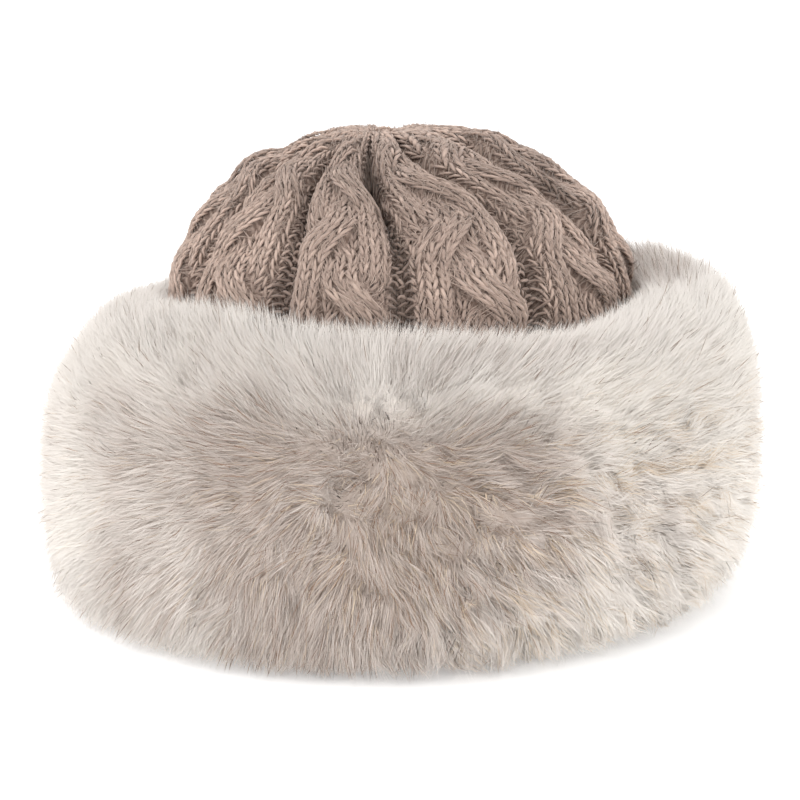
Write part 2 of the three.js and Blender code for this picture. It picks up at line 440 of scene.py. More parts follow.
def yarn_lengths(place, panel, across, run, out, radius, strip):
    """Short closed lengths of yarn. across, run and out hold each one's path, with its first and last point as the
    closed ends; place puts them in space; radius is the yarn's at each inner point, and strip its tone. Gives
    points, faces and map."""
    count, steps = across.shape
    lean_across, lean_run = np.gradient(across, axis=1), np.gradient(run, axis=1)
    size = np.hypot(lean_across, lean_run) + 1e-12
    aside, along = lean_run / size, -lean_across / size
    turn = np.arange(YARN_SIDES) / YARN_SIDES * 2 * math.pi + QUARTER
    ring = (slice(None), slice(1, -1), None)
    reach = radius[None, :, None] * np.cos(turn)
    points = np.empty((count, 2 + (steps - 2) * YARN_SIDES, 3))
    inner = place(
        panel[:, None, None],
        across[ring] + aside[ring] * reach,
        run[ring] + along[ring] * reach,
        out[ring] + 0.85 * radius[None, :, None] * np.sin(turn),
    )
    points[:, 1:-1] = inner.reshape(count, -1, 3)
    for end in (0, -1):
        points[:, end] = place(panel, across[:, end], run[:, end], out[:, end])
    rows = 1 + np.arange((steps - 2) * YARN_SIDES).reshape(steps - 2, YARN_SIDES)
    turned = np.roll(rows, -1, axis=1)
    quads = np.stack([rows[:-1], rows[1:], turned[1:], turned[:-1]], -1).reshape(-1, 4)
    last = np.full(YARN_SIDES, points.shape[1] - 1)
    caps = np.concatenate([
        np.stack([last * 0, rows[0], turned[0]], -1),
        np.stack([last, turned[-1], rows[-1]], -1),
    ])
    share = np.concatenate([[0.02], np.repeat(np.linspace(0.12, 0.88, steps - 2), YARN_SIDES), [0.98]])
    height = np.concatenate([[0.5], np.tile(0.5 + 0.38 * np.cos(turn), steps - 2), [0.5]])
    uv = np.empty((count, points.shape[1], 2))
    uv[:, :, 0] = share
    uv[:, :, 1] = (strip[:, None] + height) / YARN_STRIPS
    return points.reshape(-1, 3), joined(points, (quads, caps)), uv.reshape(-1, 2)


def yarn_strip(rng, form, panel, across, run):
    """A tone for each stitch: a slow mottle over the crown with some chance in it, with painted light and shade
    added: lighter on the left side, low on the crown beside the cuff away from the front, on the rib at the right
    and at the drawn-in top, and darker beside the deep folds.
    """
    angle = form.angle(panel, across, run)
    slow = waves(angle * 90 * MM, run, 38 * MM, 71) + 0.6 * waves(angle * 90 * MM, run, 13 * MM, 72)
    # Painted light: lighter on the left side, where more lamp light falls; low on the crown, lifting the shade that
    # the cuff casts there; on the rib at the right; and at the drawn-in top, which light from above reaches.
    lighter = 0.3 * near_turn(angle, -135, 40)
    lighter += 0.36 * (1 - smooth(run, 112 * MM, 158 * MM)) * (1 - near_turn(angle, -72, 42))
    lighter += 0.4 * near_turn(angle, 16, 18) * (1 - smooth(run, 140 * MM, 170 * MM))
    lighter += 0.5 * (1 - smooth(form.at(form.width, run), 0.15, 0.45))
    # Painted shade: the stitches beside a deep fold are darker, as if in the shade of its crease.
    shade = np.where(across < 0, 9, 4) * MM  # reaches further up the flank that faces the front
    lighter -= 1.3 * (form.fold(panel, across, run) / (6.5 * MM)) ** 2 * np.exp(
        -(((form.panel_width(run) / 2 - np.abs(across)) / shade) ** 2)
    )
    tone = 0.5 + lighter + 0.13 * slow + rng.normal(0, 0.14, len(run))
    return np.floor(np.clip(tone, 0, 0.999) * YARN_STRIPS)


def plain_stitches(form, low, high):
    """Panel, strand, offset in the strand and distance up of every plain stitch that shows, as columns."""
    sizes = form.sizes
    found = []
    for run in np.arange(low, high, sizes.row_height):
        reach = float(form.strand_width(run)) / 2 + 0.22 * sizes.stitch_width
        columns = np.arange(-1, 2) * sizes.stitch_width
        for offset in columns[np.abs(columns) < reach]:
            for strand in range(3):
                for panel in range(form.CABLES):
                    found.append((panel, strand, offset, run))
        half = float(form.panel_width(run)) / 2 - float(form.purl_width(run)) - 0.3 * sizes.stitch_width
        count = int(half / sizes.stitch_width)
        for offset in np.arange(-count, count + 1) * sizes.stitch_width:
            found.extend((panel, form.GROUND, offset, run) for panel in range(form.CABLES))
    table = np.array(found)
    panel, strand, offset, run = table.T
    across, _ = form.strand(panel, strand, offset, run)
    _, own = form.plait(strand, run)
    hidden = np.abs(across) > form.panel_width(run) / 2
    for other in range(3):
        near, lift = form.nearness(other, across, run)
        hidden |= (strand != other) & (near < 0.8) & (lift > own + 0.15) & (strand != form.GROUND)
        hidden |= (strand == form.GROUND) & (near < 0.86)
    return table[~hidden]


def lay_legs(form, table, rng, mirror):
    """Paths of one leg of each plain stitch, leaning out as it rises, its foot in front of the stitch below."""
    sizes = form.sizes
    lean = np.array([0.02, 0.085, 0.2, 0.32, 0.385]) * mirror
    rise = np.array([-0.8, -0.42, 0.12, 0.70, 1.1])
    lift = np.array([-0.45, 0.25, 0.5, 0.2, -0.7]) * MM
    count = len(table)
    panel, strand, offset, run = (column[:, None] for column in table.T)
    size = rng.normal(1, 0.07, (count, 1))
    offset = offset + rng.normal(0, 0.14 * MM, (count, 1)) + lean * size * sizes.stitch_width
    run = run + rng.normal(0, 0.2 * MM, (count, 1)) + rise * sizes.row_height * rng.normal(1, 0.06, (count, 1))
    across, out = form.strand(panel, strand, offset, run)
    return across, run, out + lift + rng.normal(0, 0.13 * MM, (count, 1))


def joined(placed, faces):
    """One copy of the faces for every set of points."""
    copies, count = placed.shape[:2]
    starts = (np.arange(copies) * count)[:, None, None]
    return [(np.asarray(part)[None] + starts).reshape(-1, len(part[0])) for part in faces]


def crown_uv(form, points):
    """The place of points in a flat map of the crown: round it, and up it by height and reach."""
    angle = np.arctan2(points[:, 1], points[:, 0]) / (2 * math.pi) % 1
    reach = np.hypot(points[:, 0] / form.half_width, points[:, 1] / form.half_length)
    up = (points[:, 2] - CROWN_LOW.z) / (CROWN_HIGH.z - CROWN_LOW.z)
    return np.stack([angle, np.clip(0.5 * up + 0.5 * (1 - reach), 0, 1)], -1)


def new_material(name, roughness, specular, sheen, sheen_roughness=0.5):
    """A material with these numbers on its shader. Gives the material, its node tree and the shader."""
    material = bpy.data.materials.new(name)
    material.use_nodes = True
    shader = material.node_tree.nodes["Principled BSDF"]
    shader.inputs["Roughness"].default_value = roughness
    shader.inputs["Specular IOR Level"].default_value = specular
    shader.inputs["Sheen Weight"].default_value = sheen
    shader.inputs["Sheen Roughness"].default_value = sheen_roughness
    return material, material.node_tree, shader


def new_ramp(tree, source, stops):
    """A colour ramp fed by source, with (place, colour) stops."""
    ramp = tree.nodes.new("ShaderNodeValToRGB")
    elements = ramp.color_ramp.elements
    while len(elements) < len(stops):
        elements.new(0.5)
    for element, (position, colour) in zip(elements, stops):
        element.position = position
        element.color = (*colour, 1)
    tree.links.new(source, ramp.inputs["Fac"])
    return ramp.outputs["Color"]


def new_math(tree, operation, first, second):
    """A math node over two sources or numbers."""
    node = tree.nodes.new("ShaderNodeMath")
    node.operation = operation
    for socket, value in zip(node.inputs, (first, second)):
        if isinstance(value, (int, float)):
            socket.default_value = value
        else:
            tree.links.new(value, socket)
    return node.outputs["Value"]


def new_product(tree, first, second):
    """Two colours multiplied."""
    mix = tree.nodes.new("ShaderNodeMix")
    mix.data_type = "RGBA"
    mix.blend_type = "MULTIPLY"
    mix.inputs["Factor"].default_value = 1
    tree.links.new(first, mix.inputs["A"])
    tree.links.new(second, mix.inputs["B"])
    return mix.outputs["Result"]


def new_noise(tree, source, scale, detail):
    """A noise texture over these coordinates."""
    noise = tree.nodes.new("ShaderNodeTexNoise")
    noise.inputs["Scale"].default_value = scale
    noise.inputs["Detail"].default_value = detail
    tree.links.new(source, noise.inputs["Vector"])
    return noise.outputs["Fac"]


def new_bump(tree, shader, height, strength, distance):
    """Relief on the shader, as high as distance."""
    bump = tree.nodes.new("ShaderNodeBump")
    bump.inputs["Strength"].default_value = strength
    bump.inputs["Distance"].default_value = distance
    tree.links.new(height, bump.inputs["Height"])
    tree.links.new(bump.outputs["Normal"], shader.inputs["Normal"])


def own_map(tree):
    """The two coordinates of a piece's own map."""
    place = tree.nodes.new("ShaderNodeUVMap")
    place.uv_map = "OFBake"
    parts = tree.nodes.new("ShaderNodeSeparateXYZ")
    tree.links.new(place.outputs["UV"], parts.inputs["Vector"])
    return parts.outputs["X"], parts.outputs["Y"]


def yarn_material(sizes):
    """Brushed yarn: fine fibres drawn along it, tones from its strip, which hold painted light and shade as well as
    mottle, and painted shade at its ends, where it dips under its neighbour.
    """
    found = bpy.data.materials.get("Brushed taupe yarn")
    if found:
        return found
    material, tree, shader = new_material("Brushed taupe yarn", 0.95, 0.1, 0.2)
    along, strip = own_map(tree)
    stretched = tree.nodes.new("ShaderNodeCombineXYZ")
    tree.links.new(new_math(tree, "MULTIPLY", along, 3.0), stretched.inputs["X"])
    twist = new_math(tree, "MULTIPLY", along, 5.0)
    fine = new_math(tree, "MULTIPLY", strip, 9.0 * YARN_STRIPS)
    tree.links.new(new_math(tree, "ADD", fine, twist), stretched.inputs["Y"])
    fibres = new_noise(tree, stretched.outputs["Vector"], 1, 2)
    dark, light = np.array(sizes.dark_colour), np.array(sizes.light_colour)
    drawn = new_ramp(tree, fibres, ((0.3, dark * 0.45 + light * 0.55), (0.66, light)))
    # Painted shade: darker at both ends of each length of yarn, where it dips under its neighbour.
    ends = new_ramp(
        tree, along, ((0.0, dark / light), (0.25, (1, 1, 1)), (0.8, (0.96, 0.95, 0.94)), (1.0, dark / light))
    )
    # The strips' tones hold painted light and shade besides the yarn's mottle.
    tones = new_ramp(tree, strip, ((0.0, (0.52, 0.50, 0.49)), (0.5, (0.94, 0.93, 0.93)), (1.0, (1.4, 1.4, 1.4))))
    colour = new_product(tree, new_product(tree, drawn, ends), tones)
    tree.links.new(colour, shader.inputs["Base Color"])
    new_bump(tree, shader, fibres, 0.55, 0.25 * MM)
    return material


def wall_material(sizes):
    """The knitted wall seen between the stitches and inside the crown: rows of purled bars, in the yarn's dark
    colour as painted shade between the stitches.
    """
    material, tree, shader = new_material("Knitted wall", 1.0, 0.1, 0.1)
    fine = new_noise(tree, tree.nodes.new("ShaderNodeTexCoord").outputs["Object"], 700, 3)
    round_it, up_it = own_map(tree)
    columns = new_math(tree, "SINE", new_math(tree, "MULTIPLY", round_it, 2 * math.pi * 144), 0)
    rows = new_math(tree, "MULTIPLY", up_it, 2 * math.pi * 60)
    rows = new_math(tree, "SINE", new_math(tree, "ADD", rows, new_math(tree, "MULTIPLY", columns, 1.4)), 0)
    height = new_math(tree, "ADD", new_math(tree, "MULTIPLY", rows, 0.25), fine)
    dark, light = np.array(sizes.dark_colour), np.array(sizes.light_colour)
    # Painted shade: the wall takes mostly the yarn's dark colour, standing in for the shade between the stitches.
    colour = new_ramp(tree, height, ((0.3, dark * 0.9), (0.8, dark * 0.3 + light * 0.7)))
    tree.links.new(colour, shader.inputs["Base Color"])
    new_bump(tree, shader, height, 0.8, 1 * MM)
    return material


KNIT_START = 94 * MM  # up from the hem; below it the cuff hides the knitting
STITCHED_SHARE = 0.085  # the stitches end where the crown has this share of its full width
# Painted shade: the purled bars lie in the grooves' shade, so their tones are darker by this many strips.
PURL_PAINTED_SHADE = 18  # strips by which the purled bars are darker


class HAT_OT_knitted_ground(bpy.types.Operator):
    """The crown's wall behind its stitches: outside, inside and hem, one closed form"""

    bl_idname = "hat.knitted_ground"
    bl_label = "Knitted ground"

    COLUMNS = 18  # of faces, for each cable
    INNER_ROWS, OUTER_ROWS = 16, 64  # from the top down the inside, and up the outside again
    WALL = 3.4 * MM  # thickness of the knitting under the ribs
    UNDER_STITCHES = 0.75 * MM  # how far the wall lies under the stitches' own surface

    def execute(self, context):
        sizes = context.scene.hat_knit
        form = CrownForm(sizes)
        rows = self.INNER_ROWS + self.OUTER_ROWS
        mesh = bmesh.new()
        bmesh.ops.create_grid(mesh, x_segments=form.CABLES * self.COLUMNS, y_segments=rows, size=1)
        grid = np.array([vert.co[:2] for vert in mesh.verts]) / 2 + 0.5
        column, row = grid[:, 0] * form.CABLES, grid[:, 1] * rows
        panel = np.minimum(np.floor(column + 1e-6), form.CABLES - 1)
        inside = row <= self.INNER_ROWS
        outer = np.clip((row - self.INNER_ROWS - 1) / (self.OUTER_ROWS - 1), 0, 1)
        run = np.where(inside, 1 - row / self.INNER_ROWS, outer**0.8) * form.length * 0.9995
        across = (column - panel - 0.5) * form.panel_width(run)
        relief, _ = form.relief(panel, across, run)
        inner = np.minimum(form.rib(panel, across, run), relief) - self.WALL
        out = np.where(inside, inner, relief - self.UNDER_STITCHES)
        points = form.place(panel, across, run, out)
        for vert, point in zip(mesh.verts, points):
            vert.co = point
        obj = object_from(mesh, "knitted_ground", 0.05 * MM)
        data = obj.data
        places = crown_uv(form, np.array([vert.co[:] for vert in data.vertices]))
        layer = data.uv_layers.new(name="OFBake")
        for face in data.polygons:
            around_face = places[list(face.vertices), 0]
            for loop, u in zip(face.loop_indices, around_face):
                wrapped = u + 1 if around_face.max() - u > 0.5 else u
                layer.data[loop].uv = (min(wrapped, 1), places[data.loops[loop].vertex_index, 1])
        settle(obj, wall_material(sizes), "knit_crown")
        return {"FINISHED"}


def purl_bars(form, rng, high):
    """Panel, paths and tone of the purled bars: short arches side by side in two crossed rows of every groove."""
    sizes = form.sizes
    rows = np.arange(KNIT_START, high, sizes.row_height / 2)
    rows = rows[form.purl_width(rows) > 0.12 * sizes.stitch_width]
    panel, column, run = (a.ravel() for a in np.meshgrid(np.arange(form.CABLES), (0, 1, 2), rows, indexing="ij"))
    step = np.rint((run - KNIT_START) / (sizes.row_height / 2)).astype(int)
    keep = (step + column) % 2 == 0
    panel, column, run = panel[keep], column[keep] - 1, run[keep]
    count = len(run)
    run = run + rng.normal(0, 0.3 * MM, count)
    half = form.purl_width(run)
    bar = np.array([-0.8, -0.56, -0.3, 0.0, 0.3, 0.56, 0.8])
    arch = np.array([-0.36, -0.14, 0.06, 0.14, 0.06, -0.14, -0.36])
    lift = np.array([-1.0, 0.0, 0.35, 0.45, 0.35, 0.0, -1.0]) * MM
    size = rng.normal(1, 0.12, (count, 1))
    place = column[:, None] + bar * size + rng.normal(0, 0.16, (count, 1))
    across = form.panel_width(run)[:, None] / 2 + place * half[:, None] * 0.95
    tilt = rng.normal(0, 0.35, (count, 1)) * bar
    along = run[:, None] + (arch * rng.normal(1, 0.5, (count, 1)) + tilt) * sizes.row_height
    folded = np.minimum(across, form.panel_width(along) - across)
    out = form.rib(panel[:, None], folded, along) + lift + rng.normal(0, 0.45 * MM, (count, 1)) + 0.1 * MM
    # The purled bars take the crown's tones, painted light included, and painted shade for the grooves.
    strip = np.floor(np.clip(yarn_strip(rng, form, panel, across[:, 3], run) - PURL_PAINTED_SHADE, 0, YARN_STRIPS - 1))
    return panel, across, along, out, strip


class HAT_OT_stitches(bpy.types.Operator):
    """The plain stitches of the cables and the purled bars of the grooves"""

    bl_idname = "hat.stitches"
    bl_label = "Stitches"

    def execute(self, context):
        sizes = context.scene.hat_knit
        form = CrownForm(sizes)
        rng = np.random.default_rng(11)
        dome = form.run > sizes.wide_height
        high = float(np.interp(-STITCHED_SHARE, -form.width[dome], form.run[dome]))
        table = plain_stitches(form, KNIT_START, high)
        radius = np.array([0.48, 0.7, 0.58]) * MM * sizes.yarn_share
        legs = [lay_legs(form, table, rng, mirror) for mirror in (-1, 1)]
        across, run, out = (np.concatenate(parts) for parts in zip(*legs))
        panel = np.tile(table[:, 0], 2)
        strip = yarn_strip(rng, form, panel, across[:, 2], run[:, 2])
        obj = mesh_from_arrays("cable_stitches", *yarn_lengths(form.place, panel, across, run, out, radius, strip))
        settle(obj, yarn_material(sizes), "knit_crown")
        panel, across, run, out, strip = purl_bars(form, rng, high)
        radius = np.array([0.5, 0.66, 0.7, 0.66, 0.5]) * MM * sizes.yarn_share
        obj = mesh_from_arrays("purl_stitches", *yarn_lengths(form.place, panel, across, run, out, radius, strip))
        settle(obj, yarn_material(sizes), "knit_crown")
        return {"FINISHED"}


class HAT_OT_gather(bpy.types.Operator):
    """The small lump of yarn where the knitting is drawn together at the top"""

    bl_idname = "hat.gather"
    bl_label = "Gather"

    LENGTHS = 110  # of yarn
    RADIUS = 6.5 * MM  # of the lump
    LIGHTEST = 32  # the strip where its tones start: painted light, as the drawn-in top is lit from above

    def execute(self, context):
        sizes = context.scene.hat_knit
        rng = np.random.default_rng(31)
        count, radius = self.LENGTHS, self.RADIUS
        turn, heading = rng.uniform(0, 2 * math.pi, (2, count, 1))
        far = radius * np.sqrt(rng.uniform(0, 1, (count, 1)))
        path = np.array([-1, -0.55, 0, 0.55, 1])
        reach = rng.uniform(2.2, 3.6, (count, 1)) * MM
        curve = rng.normal(0, 0.7, (count, 1)) * MM * path**2
        x = CrownForm.TOP_SHIFT[0] + far * np.cos(turn) + reach * path * np.cos(heading) - curve * np.sin(heading)
        y = CrownForm.TOP_SHIFT[1] + far * np.sin(turn) + reach * path * np.sin(heading) + curve * np.cos(heading)
        dome = -1.7 * MM - 3.6 * MM * (far / radius) ** 2 + rng.normal(0, 0.5, (count, 1)) * MM
        z = CROWN_HIGH.z + dome + 1.2 * MM * (0.6 - path**2)
        thickness = np.array([0.55, 0.75, 0.55]) * MM * sizes.yarn_share
        # Painted light: the lump takes only the lightest strips, for light from above.
        strip = rng.integers(self.LIGHTEST, YARN_STRIPS, count)
        lengths = yarn_lengths(self.in_space, strip, x, y, z, thickness, strip)
        settle(mesh_from_arrays("gather", *lengths), yarn_material(sizes), "knit_crown")
        return {"FINISHED"}

    @staticmethod
    def in_space(_, x, y, z):
        """Points straight from their coordinates, where the other yarn lies on a panel of the crown."""
        return np.stack(np.broadcast_arrays(x, y, z), -1)


class HAT_OT_yarn_halo(bpy.types.Operator):
    """Loose fibres that stand off the brushed yarn"""

    bl_idname = "hat.yarn_halo"
    bl_label = "Yarn halo"

    def execute(self, context):
        sizes = context.scene.hat_knit
        form = CrownForm(sizes)
        rng = np.random.default_rng(23)
        count = sizes.halo_fibres
        runs = np.linspace(KNIT_START + 4 * MM, form.length * 0.985, 200)
        area = np.cumsum(form.panel_width(runs) + 6 * MM)
        run = np.interp(rng.uniform(0, 1, count), area / area[-1], runs)
        panel = rng.integers(0, form.CABLES, count)
        across = rng.uniform(-0.5, 0.5, count) * form.panel_width(run)
        _, strand = form.relief(panel, across, run)
        start, _ = form.plait(strand, run)
        rise = rng.choice((-1, 1), count) * rng.uniform(1.5, 6.5, count) * MM
        side = rng.normal(0, 2.0, count) * MM
        lift = np.abs(rng.normal(0, 0.55, count)) * MM
        stray = rng.uniform(0, 1, count) < 0.1
        lift = np.where(stray, lift * 2.2 + 0.5 * MM, lift)
        spine = []
        for part in (0, 0.5, 1):
            up = np.clip(run + rise * part, 0, form.length * 0.999)
            place, _ = form.plait(strand, up)
            limit = form.panel_width(up) / 2
            aside = across + (place - start) * form.strand_width(up) + side * part
            aside = np.clip(aside, -limit, limit)
            surface, _ = form.relief(panel, aside, up)
            spine.append(form.place(panel, aside, up, surface + 0.5 * MM + lift * math.sin(part * 2.2)))
        spine = np.stack(spine, 1)
        outward = form.place(panel, across, run, np.full(count, 8 * MM)) - form.place(panel, across, run, -8 * MM)
        width = rng.uniform(0.13, 0.26, count) * MM
        tone = np.clip(rng.normal(0.5, 0.2, count), 0, 1)
        obj = ribbons("yarn_halo", spine, width, (1, 0.9, 0), tone, outward, rng)
        settle(obj, halo_material(sizes), "knit_crown")
        return {"FINISHED"}


def ribbons(name, spine, width, taper, tone, outward, rng, pale=0):
    """Flat tapering hairs as one object. spine holds each hair's points from root to tip, taper the share of the
    width at each, tone the place of each hair's colour in its material, from 0 to 1, and pale how far from root
    to tip each one's colour starts. The hairs lie flat to the body, whose outward direction shades them, as it
    does where hair is dense."""
    hairs, steps = spine.shape[:2]
    lay = spine[:, -1] - spine[:, 0]
    lay /= np.linalg.norm(lay, axis=1, keepdims=True) + 1e-12
    outward = outward / np.linalg.norm(outward, axis=1, keepdims=True)
    side = np.cross(lay, outward + rng.normal(0, 0.2, (hairs, 3)))
    side /= np.linalg.norm(side, axis=1, keepdims=True) + 1e-12
    half = side[:, None, :] * (width[:, None] * np.array(taper)[None, :] / 2)[:, :, None]
    points = np.zeros((hairs, 2 * steps - 1, 3))
    points[:, 0:-1:2] = (spine - half)[:, :-1]
    points[:, 1:-1:2] = (spine + half)[:, :-1]
    points[:, -1] = spine[:, -1]
    quads = [(2 * i, 2 * i + 1, 2 * i + 3, 2 * i + 2) for i in range(steps - 2)]
    last = 2 * (steps - 2)
    along = np.repeat(np.arange(steps) / (steps - 1), 2)[:-1]
    spread = np.tile([-1, 1], steps)[:-1] * 0.012
    spread[-1] = 0
    uv = np.zeros((hairs, 2 * steps - 1, 2))
    uv[:, :, 0] = 0.02 + 0.96 * (1 - (1 - along) * (1 - np.reshape(pale, (-1, 1))))
    uv[:, :, 1] = 0.03 + 0.94 * tone[:, None] + spread
    faces = joined(points, (quads, [(last, last + 1, last + 2)]))
    obj = mesh_from_arrays(name, points.reshape(-1, 3), faces, uv.reshape(-1, 2))
    normals = outward + (0, 0, 0.25) + rng.normal(0, 0.07, (hairs, 3))
    normals /= np.linalg.norm(normals, axis=1, keepdims=True)
    obj.data.normals_split_custom_set_from_vertices(np.repeat(normals, 2 * steps - 1, axis=0))
    return obj


def hair_material(name, along_stops, tone_stops, sheen):
    """Hair whose colour runs from root to tip and varies from hair to hair: two ramps, multiplied."""
    material, tree, shader = new_material(name, 0.7, 0.2, sheen)
    along, tone = own_map(tree)
    colour = new_product(tree, new_ramp(tree, along, along_stops), new_ramp(tree, tone, tone_stops))
    tree.links.new(colour, shader.inputs["Base Color"])
    return material


def halo_material(sizes):
    """Fine loose yarn fibres, a little lighter than the yarn."""
    light = np.array(sizes.light_colour)
    return hair_material(
        "Loose yarn fibres",
        ((0.0, light * 0.9), (1.0, light * 1.15)),
        ((0.0, (0.6, 0.56, 0.54)), (0.5, (0.95, 0.94, 0.93)), (1.0, (1.2, 1.2, 1.2))),
        0.2,
    )


class FurForm:
    """Where the fur's hairs start on their backing, and where their tips reach the frame's outer form.

    Two grids of places, round the hat and from the cuff's inner lip over its outside to its foot. A place between
    them is an angle round the hat and a distance run along the outer form from the lip."""

    AROUND = 144
    DOWN = 60
    ROOT_GAP = 6 * MM  # of the backing off the knitting, at the lip and the foot
    ROOT_BULGE = 16 * MM  # how much further out it lies between them
    ROOT_HIGH, ROOT_LOW = 90, 20  # its height at the lip and at the foot, in millimetres
    LEAN_HIGH, LEAN_LOW = 100, -68  # of the hairs, up from level in degrees, at the lip and at the foot
    # how far the hairs reach past the outer form: turn and reach in degrees, millimetres, and only at the lip
    FULLNESS = (
        (45, 30, 3.2, False),
        (182, 30, -8, False),
        (-104, 19, 5.5, True),
        (-68, 10, 1.5, True),
        (-33, 16, -4, True),
    )

    def __init__(self):
        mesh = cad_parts["fur_cuff"].data
        mesh.calc_loop_triangles()
        points = [vert.co.copy() for vert in mesh.vertices]
        outer = BVHTree.FromPolygons(points, [tuple(tri.vertices) for tri in mesh.loop_triangles])
        self.half_width = CROWN_HIGH.x + 1 * MM
        self.half_length = CROWN_HIGH.y + 1 * MM
        self.roots = np.zeros((self.AROUND, self.DOWN, 3))
        self.tips = np.zeros((self.AROUND, self.DOWN, 3))
        for i in range(self.AROUND):
            angle = i / self.AROUND * 2 * math.pi
            away = np.array([math.cos(angle), math.sin(angle), 0])
            for j in range(self.DOWN):
                share = j / (self.DOWN - 1)
                bulge = self.ROOT_BULGE * math.sin(math.pi * share) ** 0.8
                root = away * (self.inner_radius(angle) + self.ROOT_GAP + bulge)
                root[2] = (self.ROOT_HIGH + (self.ROOT_LOW - self.ROOT_HIGH) * share) * MM
                lean = math.radians(self.LEAN_HIGH + (self.LEAN_LOW - self.LEAN_HIGH) * share)
                heading = away * math.cos(lean) + np.array([0, 0, math.sin(lean)])
                hit, _, _, far = outer.ray_cast(Vector(root), Vector(heading), 0.1)
                self.roots[i, j] = root
                far = far if hit is not None else 15 * MM
                self.tips[i, j] = root + heading * (far + self.fullness(angle, share))
        steps = np.linalg.norm(np.diff(self.tips, axis=1), axis=2).mean(0)
        self.run = np.concatenate([[0], np.cumsum(steps)])

    def fullness(self, angle, share):
        """How far the hairs reach past the outer form here. share is 0 at the lip and 1 at the foot."""
        rim, lip = 1 - smooth(share, 0.2, 0.45), 1 - smooth(share, 0.04, 0.2)
        total = 1 * MM
        for turn, reach, height, at_lip in self.FULLNESS:
            total += height * MM * (lip if at_lip else rim) * float(near_turn(angle, turn, reach))
        return total

    def inner_radius(self, angle):
        """The cuff's inner radius, which is the knitting's outer one, at this turn."""
        a, b = self.half_width, self.half_length
        return a * b / np.hypot(b * np.cos(angle), a * np.sin(angle))

    def sample(self, grid, angle, run):
        """Reads a grid between its places."""
        i = (angle / (2 * math.pi) % 1) * self.AROUND
        j = np.interp(run, self.run, np.arange(self.DOWN))
        low_i, low_j = np.floor(i).astype(int), np.minimum(np.floor(j).astype(int), self.DOWN - 2)
        part_i, part_j = (i - low_i)[:, None], (j - low_j)[:, None]
        here, turned = low_i % self.AROUND, (low_i + 1) % self.AROUND
        low = grid[here, low_j] * (1 - part_i) + grid[turned, low_j] * part_i
        high = grid[here, low_j + 1] * (1 - part_i) + grid[turned, low_j + 1] * part_i
        return low * (1 - part_j) + high * part_j

    def inside(self, angle, run, share):
        """Places this share of the way from the backing to the outer form."""
        root, tip = self.sample(self.roots, angle, run), self.sample(self.tips, angle, run)
        return root + (tip - root) * np.reshape(share, (-1, 1))


def waves(x, y, scale, seed, count=6):
    """A smooth random field of about -1 to 1 over two coordinates in metres, with features of this size."""
    rng = np.random.default_rng(seed)
    total = np.zeros_like(x)
    for _ in range(count):
        heading, phase = rng.uniform(0, 2 * math.pi, 2)
        pitch = scale * rng.uniform(0.7, 1.5)
        total += np.sin((x * math.cos(heading) + y * math.sin(heading)) * 2 * math.pi / pitch + phase)
    return total / math.sqrt(count / 2) / 1.4


def clump_centres(x, y, size, seed):
    """The nearest of a set of scattered centres to each point, about this far apart."""
    best = np.full(len(x), np.inf)
    centre_x, centre_y = np.zeros(len(x)), np.zeros(len(x))
    cell_x, cell_y = np.floor(x / size).astype(int), np.floor(y / size).astype(int)
    for step_x in (-1, 0, 1):
        for step_y in (-1, 0, 1):
            cx, cy = cell_x + step_x, cell_y + step_y
            mix = (cx * 73856093) ^ (cy * 19349663) ^ (seed * 83492791)
            jitter_x = ((mix >> 3) % 1000) / 1000
            jitter_y = ((mix >> 11) % 1000) / 1000
            px, py = (cx + jitter_x) * size, (cy + jitter_y) * size
            far = np.hypot(px - x, py - y)
            nearer = far < best
            best = np.where(nearer, far, best)
            centre_x, centre_y = np.where(nearer, px, centre_x), np.where(nearer, py, centre_y)
    return centre_x, centre_y


# tints over the hairs' own colour: tan, taupe, cream
FUR_TINTS = (
    (0.0, (0.60, 0.46, 0.33)),
    (0.14, (0.78, 0.66, 0.52)),
    (0.24, (0.58, 0.505, 0.465)),
    (0.5, (0.725, 0.667, 0.635)),
    (0.75, (0.87, 0.833, 0.80)),
    (1.0, (0.94, 0.91, 0.87)),
)
TAUPE_TONE = 0.23  # below it the tints turn tan
TAN_TONE = 0.12
FUR_REACH = 130 * MM  # mean distance from the axis, used to measure round the hat in metres
LAY_TURN = math.radians(-72)  # the place round the hat that the front's hairs lie away from
LAY_RUN = 50 * MM  # and its distance down from the cuff's lip
LAY_REACH = 8.5 * MM  # how far a hair's tip lies over, away from that place
LAY_CALM = 12 * MM  # round that place, the hairs lie over less
CURL_LAY = 5 * MM  # how far the tufts lie over where the pile curls
CURL_SIZE = 2.6 * MM  # how far a hair winds there
GROUND_GAP = 0.4 * MM  # between the hairs and the floor
BODY_DEPTH = 0.05  # of the body's surface under its fill, as a share of the fur's depth
ROOT_DEPTH = 0.08  # and of the hairs' roots


def scatter(count, first):
    """Evenly spread places in a unit square: number first and on of a low-discrepancy row."""
    number = first + np.arange(count)
    return number * 0.7548776662466927 % 1, number * 0.5698402909980532 % 1


def locks(angle, run, length):
    """Up to 1 where the pile gathers in curly locks, on the right of the front and at the back."""
    patch = 0.5 + 0.5 * waves(angle * FUR_REACH, run, 60 * MM, 17)
    places = near_turn(angle, -28, 42) + 0.8 * near_turn(angle, 140, 56)
    return places * (0.7 + 0.5 * patch) * smooth(run / length, 0.25, 0.5)


def curliness(angle, run, length):
    """0 where the pile lies smooth, up to 1 where it curls."""
    front = 0.32 * near_turn(angle, -74, 36) * smooth(run / length, 0.25, 0.5)
    return np.clip(locks(angle, run, length) + front + 0.06, 0, 1)


